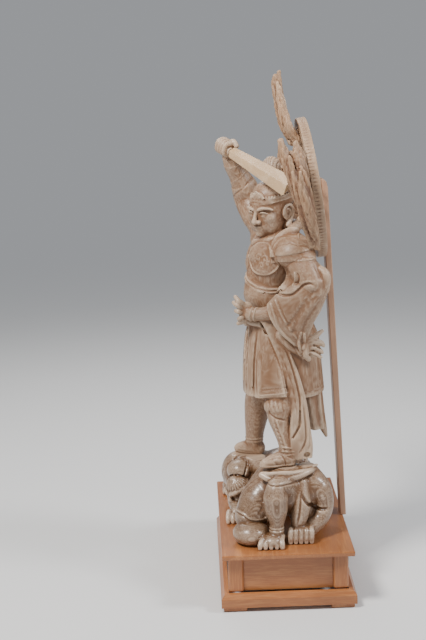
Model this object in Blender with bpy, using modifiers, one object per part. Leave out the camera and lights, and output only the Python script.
# A carved guardian king on two crouching demons, with a flaming wheel halo and a joined wooden plinth.
# The figure faces -Y, its left side is +X, and the plinth stands on z = 0.
# Coordinates in the tables are millimetres, and every mesh is made in metres.
import math

import bmesh
import bpy
import numpy as np
from mathutils import Matrix, Vector

MM = 0.001
GAP = 0.0003

# Plinth sizes
TOP_WIDTH = 0.534
TOP_DEPTH = 0.330
TOP_THICK = 0.013
TOP_SURFACE = 0.149
FOOT_HIGH = 0.012
FOOT_LONG = 0.058
BASE_HIGH = 0.033
BASE_THICK = 0.019
BASE_OUT = 0.004
CARCASE_IN = 0.015
POST_SIDE = 0.038
PANEL_THICK = 0.009
PANEL_BACK = 0.009

# Halo sizes
HALO_POST_WIDE = 0.050
HALO_POST_THICK = 0.0155
HALO_POST_TOP = 1.042
HALO_POST_OVERHANG = 0.008
HALO_POST_LEAN = math.radians(2.6)
WHEEL_CENTRE = (0.0, 0.0920, 1.020)
WHEEL_LEAN = math.radians(7.6)
WHEEL_OUTER = 0.177
WHEEL_INNER = 0.150
WHEEL_THICK = 0.023
SPOKES = 8

# Levels of the two soles
LEFT_SOLE = 326.0
RIGHT_SOLE = 292.0

# Faces of each carved piece
GUARDIAN_FACES = 3920
DEMON_FACES = 1200
FLAME_FACES = 350


def material(name, colour, roughness):
    """A Principled material with one colour and roughness."""
    mat = bpy.data.materials.new(name)
    mat.use_nodes = True
    shader = mat.node_tree.nodes["Principled BSDF"]
    shader.inputs["Base Color"].default_value = (*colour, 1.0)
    shader.inputs["Roughness"].default_value = roughness
    shader.inputs["Metallic"].default_value = 0.0
    return mat


def collection(name):
    made = bpy.data.collections.new(name)
    bpy.context.scene.collection.children.link(made)
    return made


for old in list(bpy.data.objects):
    bpy.data.objects.remove(old, do_unlink=True)

STATUE = collection("guardian_statue")
CUTTERS = collection("cutters")
ROOT = bpy.data.objects.new("statue_root", None)
STATUE.objects.link(ROOT)

RED_WOOD = material("plinth_wood", (0.36, 0.13, 0.05), 0.38)
POST_WOOD = material("halo_post_wood", (0.48, 0.26, 0.16), 0.45)
FIGURE_WOOD = material("figure_wood", (0.50, 0.37, 0.26), 0.55)
FLAME_WOOD = material("flame_wood", (0.46, 0.31, 0.21), 0.6)
SWORD_WOOD = material("sword_wood", (0.72, 0.52, 0.34), 0.5)
DEMON_WOOD = material("demon_wood", (0.40, 0.25, 0.15), 0.3)


def place(obj, home=STATUE):
    home.objects.link(obj)
    if home is STATUE:
        obj.parent = ROOT
    return obj


def from_bmesh(name, bm, mat=None, home=STATUE):
    bmesh.ops.recalc_face_normals(bm, faces=bm.faces)
    mesh = bpy.data.meshes.new(name)
    bm.to_mesh(mesh)
    bm.free()
    obj = place(bpy.data.objects.new(name, mesh), home)
    if mat:
        mesh.materials.append(mat)
    return obj


def board(name, size, centre, mat, round_by=0.0015, segments=1):
    """A plain board with rounded edges, from a cube."""
    bm = bmesh.new()
    bmesh.ops.create_cube(bm, size=1.0, matrix=Matrix.Diagonal((*size, 1.0)))
    obj = from_bmesh(name, bm, mat)
    obj.location = centre
    edge = obj.modifiers.new("rounded edges", "BEVEL")
    edge.width = round_by
    edge.segments = segments
    return obj


def cutter(name, low, high):
    """A box that cuts a flat seat, given by its two corners in metres."""
    low = Vector(low)
    high = Vector(high)
    bm = bmesh.new()
    bmesh.ops.create_cube(bm, size=1.0, matrix=Matrix.Diagonal((*(high - low), 1.0)))
    obj = from_bmesh(name, bm, None, CUTTERS)
    obj.parent = ROOT
    obj.location = (low + high) / 2
    obj.hide_render = True
    obj.display_type = "WIRE"
    return obj


def cut(obj, tool, operation="DIFFERENCE"):
    mod = obj.modifiers.new("cut by " + tool.name, "BOOLEAN")
    mod.operation = operation
    mod.solver = "EXACT"
    mod.object = tool
    return mod


# Helpers for carved forms: every form adds one closed shell to a bmesh, in metres
def frame_of(yaw=0.0, pitch=0.0, roll=0.0):
    """Yaw turns a forward-facing form to its left, pitch nods it down, roll tips it to its left."""
    turn = Matrix.Rotation(math.radians(yaw), 3, "Z")
    turn = turn @ Matrix.Rotation(math.radians(pitch), 3, "X")
    return turn @ Matrix.Rotation(math.radians(roll), 3, "Y")


def ball(bm, centre, radii, yaw=0.0, pitch=0.0, roll=0.0, around=16, rings=10):
    spin = frame_of(yaw, pitch, roll).to_4x4()
    move = Matrix.Translation(Vector(centre) * MM)
    size = Matrix.Diagonal((*[r * MM for r in radii], 1.0))
    bmesh.ops.create_uvsphere(
        bm, u_segments=around, v_segments=rings, radius=1.0, matrix=move @ spin @ size
    )


def smooth_path(points, steps=4):
    """Points of a Catmull-Rom curve through rows of numbers."""
    rows = np.array(points, dtype=float)
    padded = np.vstack([2 * rows[0] - rows[1], rows, 2 * rows[-1] - rows[-2]])
    made = []
    for i in range(len(rows) - 1):
        a, b, c, d = padded[i : i + 4]
        for k in range(steps):
            t = k / steps
            made.append(
                0.5 * (2 * b + (c - a) * t + (2 * a - 5 * b + 4 * c - d) * t**2
                       + (3 * b - a - 3 * c + d) * t**3)
            )
    made.append(rows[-1])
    return np.array(made)


def limb(bm, rows, steps=3, closed=False):
    """A round limb through rows of x, y, z, radius: a poly curve with a bevel and filled caps."""
    rows = np.array(rows, dtype=float)
    if closed:
        loop = np.vstack([rows[-1:], rows, rows[:2]])
        path = smooth_path(loop, steps)[steps:-1 - steps]
    else:
        path = smooth_path(rows, steps)
    data = bpy.data.curves.new("limb", "CURVE")
    data.dimensions = "3D"
    data.bevel_depth = MM
    data.bevel_resolution = 2
    data.use_fill_caps = not closed
    line = data.splines.new("POLY")
    line.points.add(len(path) - 1)
    line.use_cyclic_u = closed
    for point, (x, y, z, radius) in zip(line.points, path):
        point.co = (x * MM, y * MM, z * MM, 1.0)
        point.radius = max(radius, 0.5)
    obj = bpy.data.objects.new("limb", data)
    bpy.context.scene.collection.objects.link(obj)
    seen = obj.evaluated_get(bpy.context.evaluated_depsgraph_get())
    mesh = bpy.data.meshes.new_from_object(seen)
    bm.from_mesh(mesh)
    bpy.data.objects.remove(obj)
    bpy.data.curves.remove(data)
    bpy.data.meshes.remove(mesh)


def loft(bm, rings):
    """Skins rings of equal length and closes both ends."""
    rows = [[bm.verts.new(p) for p in ring] for ring in rings]
    count = len(rows[0])
    for low, high in zip(rows, rows[1:]):
        for i in range(count):
            j = (i + 1) % count
            bm.faces.new((low[i], low[j], high[j], high[i]))
    bm.faces.new(list(reversed(rows[0])))
    bm.faces.new(rows[-1])


def oval(centre, across, deep, power=2.0, count=16):
    """A superellipse ring around a centre, between two half-axis vectors."""
    ring = []
    for i in range(count):
        angle = 2 * math.pi * i / count
        c = math.cos(angle)
        s = math.sin(angle)
        u = math.copysign(abs(c) ** (2 / power), c)
        v = math.copysign(abs(s) ** (2 / power), s)
        ring.append((Vector(centre) + Vector(across) * u + Vector(deep) * v) * MM)
    return ring


def stack(bm, rows, steps=3, power=2.2, count=20):
    """A body of level sections: rows of x, y, z, half width, half depth, yaw."""
    rings = []
    for x, y, z, wide, deep, yaw in smooth_path(rows, steps):
        turn = Matrix.Rotation(math.radians(yaw), 3, "Z")
        across = turn @ Vector((wide, 0, 0))
        back = turn @ Vector((0, deep, 0))
        rings.append(oval((x, y, z), across, back, power, count))
    loft(bm, rings)


def strap(bm, rows, outward, thick, steps=3, power=3.0, count=8):
    """A flat band through rows of x, y, z, half width, with its face turned outward."""
    path = smooth_path(rows, steps)
    rings = []
    for i, (x, y, z, wide) in enumerate(path):
        ahead = path[min(i + 1, len(path) - 1)][:3] - path[max(i - 1, 0)][:3]
        ahead = Vector(ahead).normalized()
        face = Vector(outward(x, y, z) if callable(outward) else outward)
        face = (face - ahead * face.dot(ahead)).normalized()
        side = ahead.cross(face)
        rings.append(oval((x, y, z), side * wide, face * (thick / 2), power, count))
    loft(bm, rings)


def carve(name, bm, mat, voxel, faces, soften=2):
    """Unites the forms by a voxel remesh, softens them, and brings them to a number of faces."""
    obj = from_bmesh(name, bm, mat)
    mesh = obj.modifiers.new("one solid", "REMESH")
    mesh.mode = "VOXEL"
    mesh.voxel_size = voxel
    mesh.use_smooth_shade = True
    soft = obj.modifiers.new("soft", "SMOOTH")
    soft.factor = 0.5
    soft.iterations = soften
    graph = bpy.context.evaluated_depsgraph_get()
    seen = obj.evaluated_get(graph).data
    seen.calc_loop_triangles()
    few = obj.modifiers.new("fewer faces", "DECIMATE")
    few.ratio = faces / max(len(seen.loop_triangles), faces)
    few.use_collapse_triangulate = True
    return obj


# Plinth: top board, corner posts, recessed panels, bevelled base rails and feet
carcase_x = TOP_WIDTH / 2 - CARCASE_IN
carcase_y = TOP_DEPTH / 2 - CARCASE_IN
board_under = TOP_SURFACE - TOP_THICK
rail_top = FOOT_HIGH + BASE_HIGH
board(
    "plinth_top",
    (TOP_WIDTH, TOP_DEPTH, TOP_THICK),
    (0, 0, TOP_SURFACE - TOP_THICK / 2),
    RED_WOOD,
    0.003,
    2,
)
post_high = board_under - rail_top - 2 * GAP
post_mid = rail_top + GAP + post_high / 2
for side_x, side_name in ((1, "left"), (-1, "right")):
    for side_y, end_name in ((-1, "front"), (1, "back")):
        board(
            f"plinth_post_{end_name}_{side_name}",
            (POST_SIDE, POST_SIDE, post_high),
            (side_x * (carcase_x - POST_SIDE / 2), side_y * (carcase_y - POST_SIDE / 2), post_mid),
            RED_WOOD,
            0.004,
            1,
        )
        board(
            f"plinth_foot_{end_name}_{side_name}",
            (FOOT_LONG, FOOT_LONG, FOOT_HIGH - GAP),
            (
                side_x * (TOP_WIDTH / 2 - FOOT_LONG / 2 - 0.002),
                side_y * (TOP_DEPTH / 2 - FOOT_LONG / 2 - 0.002),
                (FOOT_HIGH - GAP) / 2,
            ),
            RED_WOOD,
            0.0015,
            1,
        )
panel_x = 2 * (carcase_x - POST_SIDE) - 2 * GAP
panel_y = 2 * (carcase_y - POST_SIDE) - 2 * GAP
for side, name in ((-1, "front"), (1, "back")):
    board(
        f"plinth_panel_{name}",
        (panel_x, PANEL_THICK, post_high),
        (0, side * (carcase_y - PANEL_BACK - PANEL_THICK / 2), post_mid),
        RED_WOOD,
        0.0008,
    )
for side, name in ((1, "left"), (-1, "right")):
    board(
        f"plinth_panel_{name}",
        (PANEL_THICK, panel_y, post_high),
        (side * (carcase_x - PANEL_BACK - PANEL_THICK / 2), 0, post_mid),
        RED_WOOD,
        0.0008,
    )


def base_rail(name, length, reach, turn):
    """A mitred rail: its bevelled section is lofted between two mitred ends."""
    out = BASE_OUT
    back = -BASE_THICK + out
    section = ((out, 0.0), (out, BASE_HIGH - 0.011), (out - 0.008, BASE_HIGH), (back, BASE_HIGH), (back, 0.0))
    bm = bmesh.new()
    rings = []
    for end in (-1, 1):
        rings.append(
            [Vector((end * (length / 2 + o - GAP), reach + o, FOOT_HIGH + z)) for o, z in section]
        )
    loft(bm, rings)
    obj = from_bmesh(name, bm, RED_WOOD)
    obj.rotation_euler.z = turn
    return obj


base_rail("plinth_base_back", TOP_WIDTH, TOP_DEPTH / 2, 0.0)
base_rail("plinth_base_front", TOP_WIDTH, TOP_DEPTH / 2, math.pi)
base_rail("plinth_base_left", TOP_DEPTH, TOP_WIDTH / 2, -math.pi / 2)
base_rail("plinth_base_right", TOP_DEPTH, TOP_WIDTH / 2, math.pi / 2)

# Halo post: a flat upright that leans a little forward and overhangs the back edge
post_back = TOP_DEPTH / 2 + HALO_POST_OVERHANG
post_long = (HALO_POST_TOP - TOP_SURFACE) / math.cos(HALO_POST_LEAN)
bm = bmesh.new()
half = HALO_POST_WIDE / 2
foot_depth = HALO_POST_THICK / math.cos(HALO_POST_LEAN)
lean = math.tan(HALO_POST_LEAN)
rings = []
for z, take in ((TOP_SURFACE + GAP, 0.0), (HALO_POST_TOP - 0.022, 0.0), (HALO_POST_TOP - 0.006, 0.003),
                (HALO_POST_TOP, 0.010)):
    shift = lean * (z - TOP_SURFACE)
    near = post_back - shift - foot_depth
    far = post_back - shift - take
    rings.append([Vector((x, y, z)) for x, y in ((-half, near), (half, near), (half, far), (-half, far))])
loft(bm, rings)
post = from_bmesh("halo_post", bm, POST_WOOD)
edge = post.modifiers.new("rounded edges", "BEVEL")
edge.width = 0.0015
edge.segments = 1

# Halo wheel: a turned rim and hub joined by eight spokes
wheel_place = Matrix.Translation(WHEEL_CENTRE) @ Matrix.Rotation(WHEEL_LEAN + math.pi / 2, 4, "X")


def turned(name, profile, steps, mat, closed=True):
    """A profile of radius and height, turned about Z by a Screw modifier; an open one ends on the axis."""
    bm = bmesh.new()
    verts = [bm.verts.new((r, 0.0, h)) for r, h in profile]
    for a, b in zip(verts, verts[1:]):
        bm.edges.new((a, b))
    if closed:
        bm.edges.new((verts[-1], verts[0]))
    mesh = bpy.data.meshes.new(name)
    bm.to_mesh(mesh)
    bm.free()
    mesh.materials.append(mat)
    obj = place(bpy.data.objects.new(name, mesh))
    screw = obj.modifiers.new("turn", "SCREW")
    screw.steps = steps
    screw.render_steps = steps
    screw.use_merge_vertices = True
    screw.merge_threshold = 0.00005
    screw.use_normal_calculate = True
    return obj


half = WHEEL_THICK / 2
rim = turned(
    "halo_wheel",
    (
        (WHEEL_INNER, half - 0.004),
        (WHEEL_INNER + 0.004, half),
        (WHEEL_OUTER - 0.005, half),
        (WHEEL_OUTER, half - 0.006),
        (WHEEL_OUTER, -half + 0.004),
        (WHEEL_OUTER - 0.005, -half),
        (WHEEL_INNER + 0.003, -half),
        (WHEEL_INNER, -half + 0.003),
    ),
    40,
    FLAME_WOOD,
)
hub = turned(
    "wheel_hub",
    ((0.0, -0.030), (0.022, -0.030), (0.022, -0.012), (0.036, -0.010), (0.038, -0.006), (0.034, 0.006), (0.026, 0.014), (0.012, 0.019), (0.0, 0.020)),
    20,
    FLAME_WOOD,
    closed=False,
)
spokes = bmesh.new()
for i in range(SPOKES):
    turn = Matrix.Rotation(2 * math.pi * (i + 0.53) / SPOKES, 4, "Z")
    arm = Matrix.Translation((0.092, 0, 0.0006)) @ Matrix.Rotation(math.pi / 2, 4, "Y")
    bmesh.ops.create_cone(
        spokes, cap_ends=True, segments=8, radius1=0.0075, radius2=0.0075, depth=0.124, matrix=turn @ arm
    )
spokes_obj = from_bmesh("wheel_spokes", spokes, FLAME_WOOD)
for tool in (hub, spokes_obj):
    STATUE.objects.unlink(tool)
    CUTTERS.objects.link(tool)
    tool.matrix_world = wheel_place
    tool.hide_render = True
    tool.display_type = "WIRE"
rim.matrix_world = wheel_place
bpy.context.view_layer.update()
cut(rim, spokes_obj, "UNION")
cut(rim, hub, "UNION")
bm = bmesh.new()
rings = []
for z in (0.80, 1.30):
    near = post_back - lean * (z - TOP_SURFACE) - foot_depth - GAP
    rings.append([Vector((x, y, z)) for x, y in ((-0.1, near), (0.1, near), (0.1, 0.3), (-0.1, 0.3))])
loft(bm, rings)
post_room = from_bmesh("room_for_post", bm, None, CUTTERS)
post_room.parent = ROOT
post_room.hide_render = True
post_room.display_type = "WIRE"
cut(rim, post_room)
bm = bmesh.new()
bmesh.ops.create_cube(bm, size=1.0, matrix=Matrix.Translation((0, 0, half + GAP - 0.05)) @ Matrix.Diagonal((0.8, 0.8, 0.1, 1.0)))
rim_room = from_bmesh("room_for_rim", bm, None, CUTTERS)
rim_room.parent = ROOT
rim_room.matrix_world = wheel_place
rim_room.hide_render = True
rim_room.display_type = "WIRE"

# Flames: each tuft is a bundle of waving tongues, flat against the rim and leaning forward off it
def flame(name, tongues, faces):
    bm = bmesh.new()
    for rows in tongues:
        limb(bm, rows, 4)
    obj = carve(name, bm, FLAME_WOOD, 0.0032, faces, 1)
    cut(obj, rim_room)
    return obj


def side_tongues(way, rise):
    """The tongues of a side tuft, mirrored by way; rise scales their height over the tuft's foot."""
    rows = (
        ((150, 88, 905, 10), (172, 70, 940, 16), (186, 51, 1000, 19), (190, 36, 1050, 18), (184, 22, 1100, 15),
         (180, 8, 1145, 11)),
        ((158, 92, 892, 10), (180, 80, 930, 17), (194, 68, 985, 19), (196, 60, 1040, 18), (190, 50, 1085, 15),
         (188, 40, 1124, 8)),
        ((168, 90, 905, 9), (206, 76, 950, 13), (220, 62, 1000, 13), (222, 50, 1045, 10), (232, 46, 1082, 5)),
        ((150, 86, 950, 12), (160, 70, 1010, 19), (164, 58, 1070, 18), (156, 52, 1112, 14), (150, 44, 1144, 8)),
        ((160, 76, 950, 13), (176, 58, 1010, 20), (178, 46, 1070, 17), (172, 30, 1122, 8)),
        ((176, 76, 900, 8), (192, 62, 960, 14), (206, 46, 1020, 12), (200, 34, 1070, 10), (206, 24, 1116, 5)),
    )
    return [[(way * x, y, 905 + (z - 905) * rise, r) for x, y, z, r in tongue] for tongue in rows]


flame("halo_flame_left", side_tongues(1, 1.0), FLAME_FACES)
flame("halo_flame_right", side_tongues(-1, 0.85), FLAME_FACES)
flame(
    "halo_flame_top",
    (
        ((-6, 54, 1140, 15), (-4, 40, 1185, 18), (4, 25, 1238, 17), (-2, 15, 1278, 15), (0, 12, 1294, 11)),
        ((4, 36, 1215, 11), (2, 26, 1260, 9), (2, 18, 1310, 7)),
        ((-36, 58, 1150, 11), (-30, 44, 1195, 15), (-20, 30, 1240, 12), (-26, 18, 1280, 5)),
        ((32, 58, 1150, 11), (28, 43, 1195, 15), (20, 29, 1240, 13), (12, 14, 1280, 8)),
        ((-62, 60, 1148, 8), (-56, 50, 1185, 11), (-42, 40, 1222, 9), (-46, 33, 1252, 4)),
        ((60, 60, 1148, 8), (56, 50, 1183, 11), (44, 40, 1218, 9), (48, 33, 1246, 4)),
        ((-48, 60, 1142, 10), (0, 58, 1150, 15), (48, 60, 1142, 10)),
    ),
    FLAME_FACES,
)

# Sword: a diamond section that widens towards its plain cut tip, set through the fist
SWORD_GRIP = Vector((-140, -113, 1112))
SWORD_TIP = Vector((155, 24, 1041))


def blade(name, mat, home, grow):
    along = (SWORD_TIP - SWORD_GRIP).normalized()
    flat = along.cross(Vector((0.48, -0.72, 0.51))).normalized()
    thick = along.cross(flat)
    bm = bmesh.new()
    rings = []
    for share, wide, deep in ((-0.05, 9, 7), (0.085, 9, 7), (0.09, 14.5, 8), (0.985, 25.5, 10), (1.0, 21, 7)):
        mid = SWORD_GRIP.lerp(SWORD_TIP, share)
        wide += grow
        deep += grow
        rings.append([(mid + v) * MM for v in (flat * wide, thick * deep, flat * -wide, thick * -deep)])
    loft(bm, rings)
    return from_bmesh(name, bm, mat, home)


blade("sword", SWORD_WOOD, STATUE, 0.0)
sword_room = blade("room_for_sword", None, CUTTERS, 0.7)
sword_room.parent = ROOT
sword_room.hide_render = True
sword_room.display_type = "WIRE"

# Guardian: body and garments are forms on one set of body points, united into one solid
bm = bmesh.new()
# trunk from the hips to the neck, turned a little more to its left at each level
stack(bm, ((2, 14, 620, 80, 72, 8), (2, 10, 680, 74, 66, 10), (2, -3, 735, 68, 68, 14), (0, -6, 778, 64, 58, 18),
           (0, -8, 825, 80, 60, 20), (0, -4, 862, 84, 54, 22), (2, -2, 888, 60, 42, 30), (4, -6, 908, 34, 34, 40)))
# head with its hair, topknot, ears, brow, nose and jaw
ball(bm, (5, -10, 976), (51, 58, 66), 45, 6)
ball(bm, (14, -20, 938), (38, 42, 38), 45, 10)
ball(bm, (-2, 0, 1004), (53, 60, 41), 45)
ball(bm, (-9, -5, 1068), (25, 25, 34), 45)
limb(bm, ((45, -50, 978, 5), (49, -57, 962, 8), (44, -51, 957, 7)))
limb(bm, ((18, -66, 990, 5), (44, -54, 992, 7), (60, -28, 990, 5)))
for out in (1, -1):
    yaw = frame_of(45)
    near = yaw @ Vector((out * 53, 4, 0)) + Vector((5, -10, 0))
    limb(bm, ((near.x, near.y, 980, 8), (near.x, near.y, 962, 10), (near.x, near.y, 938, 8)))
# headband and its front ornament
band = []
for i in range(12):
    a = 2 * math.pi * i / 12
    p = frame_of(45) @ Vector((52 * math.cos(a), 59 * math.sin(a), 0)) + Vector((0, -3, 1006 + 5 * math.sin(a)))
    band.append((p.x, p.y, p.z, 6))
limb(bm, band, 2, closed=True)
front = frame_of(45) @ Vector((0, -60, 0)) + Vector((0, -3, 1010))
ball(bm, front, (19, 9, 13), 45)
# rolled collar, higher at the nape
limb(bm, ((0, -50, 884, 11), (38, -28, 892, 12), (58, 8, 902, 13), (44, 44, 922, 13), (8, 58, 930, 13),
          (-34, 40, 922, 13), (-52, 4, 906, 12), (-38, -34, 890, 11)), 2, closed=True)
# breast plates
ball(bm, (38, -32, 850), (46, 28, 38), 46, 4)
ball(bm, (-26, -52, 846), (42, 24, 36), -2, 4)
# belly, waist cord and belt
ball(bm, (4, -28, 742), (64, 55, 44), 14)
limb(bm, ((-8, -70, 800, 5), (40, -46, 782, 6), (66, -4, 772, 6), (48, 42, 776, 6), (0, 56, 782, 6), (-52, 34, 786, 6),
          (-64, -14, 792, 6), (-44, -52, 800, 5)), 2, closed=True)
limb(bm, ((8, -84, 690, 9), (58, -62, 690, 10), (88, -8, 688, 10), (70, 54, 690, 10), (4, 84, 694, 10),
          (-64, 58, 692, 10), (-84, 0, 690, 10), (-52, -62, 690, 9)), 2, closed=True)
# skirt and the cloth below it at the back
stack(bm, ((2, 10, 694, 80, 74, 8), (3, 14, 640, 94, 92, 8), (4, 14, 580, 101, 98, 8), (4, 15, 530, 105, 101, 8),
           (4, 16, 500, 106, 102, 8)), 2)
stack(bm, ((2, 68, 560, 74, 36, 4), (2, 74, 500, 76, 36, 4), (2, 82, 440, 72, 34, 4), (2, 88, 398, 68, 31, 4)), 2)
limb(bm, ((25, 104, 430, 15), (25, 114, 396, 10), (24, 122, 370, 3)))


def skirt_out(x, y, z):
    return (x - 4, y - 15, 0)


# thigh panels and the front apron lie on the skirt
for x, y in ((70, -56), (100, -14)):
    strap(bm, ((x * 0.80, y * 0.9, 680, 27), (x * 0.97, y, 600, 32), (x * 1.02, y * 1.06, 497, 34)), skirt_out, 16, 2)
    strap(bm, ((-x * 0.80, y * 0.9, 680, 27), (-x * 0.95, y, 600, 32), (-x, y * 1.06, 497, 34)), skirt_out, 16, 2)
strap(bm, ((2, -76, 690, 26), (4, -84, 600, 29), (6, -88, 494, 31)), (0, -1, 0), 14, 2)
# legs: puffed trousers, gathered knees, greaves and boots
limb(bm, ((58, 4, 540, 50), (86, 2, 490, 41), (100, -6, 456, 30), (104, 0, 424, 24), (108, 8, 390, 19.5),
          (110, 12, 362, 19), (112, 12, 340, 20)))
limb(bm, ((-46, -16, 540, 46), (-66, -38, 490, 40), (-82, -56, 440, 31), (-88, -58, 400, 28), (-92, -60, 350, 25),
          (-95, -62, 310, 23)))
limb(bm, ((110, 16, 342, 22), (114, -4, 342, 21), (122, -28, 338, 18), (128, -46, 336, 13)))
limb(bm, ((-94, -54, 306, 22), (-98, -78, 306, 20), (-104, -98, 304, 15), (-106, -106, 302, 11)))
# mantle over both shoulders
ball(bm, (48, 30, 880), (60, 52, 36), 22, 0, 18)
ball(bm, (-48, -6, 880), (58, 48, 34), 22, 0, -16)
# left arm on the hip: shoulder guards, flared upper sleeve and the hanging sleeve
ball(bm, (92, 44, 866), (42, 48, 40), 22, 0, 24)
limb(bm, ((80, 38, 872, 38), (112, 60, 836, 40), (132, 80, 796, 40)))
loft(
    bm,
    [
        oval((104, 50, 862), (36, 6, -12), (-6, 40, 0), 2, 16),
        oval((114, 56, 832), (38, 4, -4), (-4, 55, 0), 2, 16),
        oval((122, 60, 796), (38, 0, 10), (0, 65, -4), 2, 16),
        oval((122, 60, 786), (34, 0, 10), (0, 60, -4), 2, 16),
    ],
)
limb(bm, ((116, 84, 846, 16), (134, 104, 826, 18), (138, 108, 796, 16), (134, 102, 768, 9)))
loft(
    bm,
    [
        oval((138, 92, 788), (24, 0, 0), (0, 22, -32), 2, 16),
        oval((132, 60, 752), (26, 0, 0), (0, 26, -46), 2.2, 16),
        oval((112, 28, 712), (25, 0, 0), (0, 36, -58), 2.4, 16),
        oval((101, 6, 686), (22, 0, 0), (0, 46, -58), 2.6, 16),
        oval((98, -8, 676), (18, 0, 0), (0, 30, -38), 2.4, 16),
    ],
)
limb(bm, ((104, 0, 716, 20), (90, -30, 706, 20), (78, -58, 702, 19), (70, -74, 714, 17)))
ball(bm, (66, -84, 724), (12, 20, 22), 0, -20)
for tip in ((60, -113, 757), (60, -119, 743), (61, -112, 722), (63, -103, 700)):
    limb(bm, ((66, -86, 726, 9), tuple((a + b) / 2 for a, b in zip((66, -86, 728), tip)) + (7,), (*tip, 5)), 1)
# right arm raised over the head, with cuffs and the fist round the sword
limb(bm, ((-70, -18, 880, 37), (-104, -27, 900, 38), (-150, -42, 936, 37), (-176, -56, 974, 37),
          (-168, -68, 1010, 34), (-159, -82, 1040, 28), (-150, -99, 1067, 23), (-145, -109, 1090, 20)))
ball(bm, (-90, -30, 880), (42, 40, 38), 10, 0, -24)
ball(bm, (-142, -112, 1113), (23, 25, 27))
limb(bm, ((-142, -148, 1119, 5), (-142, -137, 1126, 9), (-142, -124, 1132, 12), (-142, -104, 1128, 11)), 2)
# sash down the left side, its knot and the ruffled end
strap(bm, ((92, -26, 672, 20), (104, 8, 590, 25), (112, 34, 517, 24), (118, 42, 470, 22), (122, 50, 420, 23),
           (122, 56, 375, 22), (121, 62, 342, 14)), (1, 0.1, 0), 14)
limb(bm, ((112, 34, 668, 13), (112, 48, 646, 15), (108, 60, 624, 12)))
for left_y, left_z, right_y, right_z, sag in ((60, 656, 106, 672, -9), (58, 640, 104, 642, -6),
                                              (60, 624, 106, 622, -6), (62, 608, 100, 598, -5)):
    middle = (105, (left_y + right_y) / 2, (left_z + right_z) / 2 + sag, 10)
    limb(bm, ((114, left_y, left_z, 10), middle, (94, right_y, right_z, 9)))
strap(bm, ((-98, 10, 672, 20), (-108, 24, 590, 22), (-112, 34, 500, 20), (-110, 40, 420, 18), (-106, 44, 360, 12)),
      (-1, 0.1, 0), 13)
guardian = carve("guardian", bm, FIGURE_WOOD, 0.0045, GUARDIAN_FACES, 2)
cut(guardian, sword_room)
cut(guardian, cutter("under_left_foot", (0.06, -0.08, 0.20), (0.16, 0.10, LEFT_SOLE * MM)))
cut(guardian, cutter("under_right_foot", (-0.16, -0.16, 0.20), (-0.04, 0.02, RIGHT_SOLE * MM)))


# Demon under the left foot: on all fours, one foot planted, one knee and one hand down, loincloth and belt
bm = bmesh.new()
ball(bm, (112, 6, 262), (78, 82, 68))
ball(bm, (104, 60, 262), (66, 50, 56))
limb(bm, ((122, 20, 272, 50), (160, -4, 286, 38), (190, -22, 292, 27), (198, -25, 266, 33), (201, -23, 235, 26),
          (203, -22, 210, 17), (206, -24, 190, 18), (208, -26, 172, 22)))
ball(bm, (218, -36, 163), (30, 30, 18))
for i in range(5):
    limb(bm, ((222, -60 + 12 * i, 162, 8), (234, -66 + 13.5 * i, 159, 7.5), (241, -69 + 14 * i, 154, 6)), 1)
limb(bm, ((98, -20, 274, 56), (128, -62, 238, 50), (146, -92, 192, 42)))
ball(bm, (146, -88, 178), (58, 46, 34))
ball(bm, (122, 50, 212), (44, 40, 52))
limb(bm, ((132, -90, 172, 26), (84, -78, 168, 20), (44, -60, 164, 16)))
limb(bm, ((144, 40, 286, 22), (154, 38, 245, 25), (162, 34, 208, 24), (168, 22, 172, 14)))
limb(bm, ((112, 62, 294, 36), (138, 92, 264, 31), (142, 101, 226, 25), (156, 88, 192, 22), (178, 56, 172, 21)))
ball(bm, (188, 38, 168), (22, 27, 17))
for i in range(4):
    limb(bm, ((190, 16 + 14 * i, 166, 8), (204, 13 + 15 * i, 162, 7), (209, 12 + 15.5 * i, 152, 6)), 1)
ball(bm, (60, 76, 226), (34, 38, 40))
limb(bm, ((62, 56, 284, 26), (34, 60, 220, 20), (28, 36, 168, 16)))
strap(bm, ((168, -62, 296, 8), (176, -10, 304, 8), (160, 56, 300, 8), (120, 92, 296, 8)), (0.7, 0.1, 0.7), 8)
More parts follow.
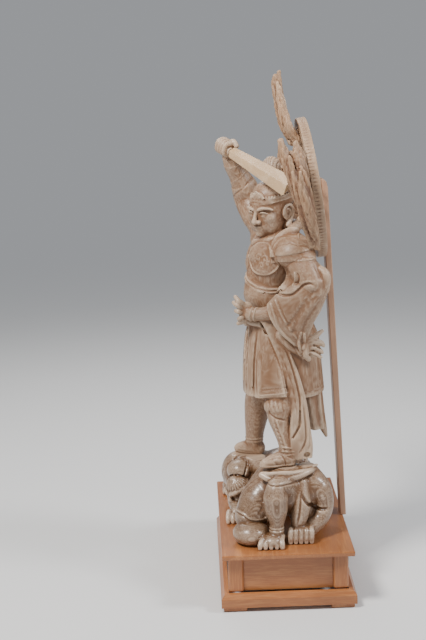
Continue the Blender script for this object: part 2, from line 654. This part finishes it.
demon_left = carve("demon_left", bm, DEMON_WOOD, 0.0045, DEMON_FACES, 2)
cut(demon_left, cutter("left_foot_room", (0.05, -0.09, LEFT_SOLE * MM - GAP), (0.17, 0.11, 0.40)))
cut(demon_left, cutter("board_room_left", (0.0, -0.2, 0.10), (0.3, 0.2, TOP_SURFACE + GAP)))

# Demon under the right foot: crouched with its back up, its head down at the front and an arm stretched out
bm = bmesh.new()
ball(bm, (-104, -72, 232), (84, 82, 68))
ball(bm, (-92, -106, 246), (52, 46, 50))
ball(bm, (-112, 10, 226), (80, 86, 62))
ball(bm, (-20, -112, 238), (32, 28, 34), 20)
ball(bm, (-10, -118, 206), (24, 26, 20), 20)
limb(bm, ((-60, -60, 270, 34), (-14, -50, 262, 19), (4, -60, 236, 14), (14, -78, 196, 13), (18, -86, 172, 12)))
limb(bm, ((-60, -110, 220, 34), (-20, -120, 185, 22), (16, -120, 172, 17), (38, -120, 165, 15)))
for i in range(4):
    limb(bm, ((34, -138 + 11 * i, 164, 8), (50, -140 + 11.5 * i, 160, 6.5), (58, -141 + 12 * i, 153, 5)), 1)
limb(bm, ((-120, 20, 240, 54), (-170, -30, 215, 42), (-206, -70, 190, 34)))
limb(bm, ((-206, -66, 184, 30), (-196, -10, 172, 24), (-186, 40, 168, 20)))
limb(bm, ((-90, 50, 230, 50), (-40, 84, 200, 38), (-20, 100, 182, 30), (-50, 60, 170, 22)))
limb(bm, ((-150, -100, 240, 34), (-186, -116, 200, 26), (-180, -130, 168, 20)))
demon_right = carve("demon_right", bm, DEMON_WOOD, 0.0045, DEMON_FACES, 2)
cut(demon_right, cutter("right_foot_room", (-0.18, -0.17, RIGHT_SOLE * MM - GAP), (-0.03, 0.03, 0.40)))
cut(demon_right, cutter("board_room_right", (-0.3, -0.2, 0.10), (0.1, 0.2, TOP_SURFACE + GAP)))

# The origin is on the floor under the middle of the whole outline, which the halo post makes deeper at the back
front_edge = -TOP_DEPTH / 2 - BASE_OUT
ROOT.location.y = -(front_edge + post_back) / 2
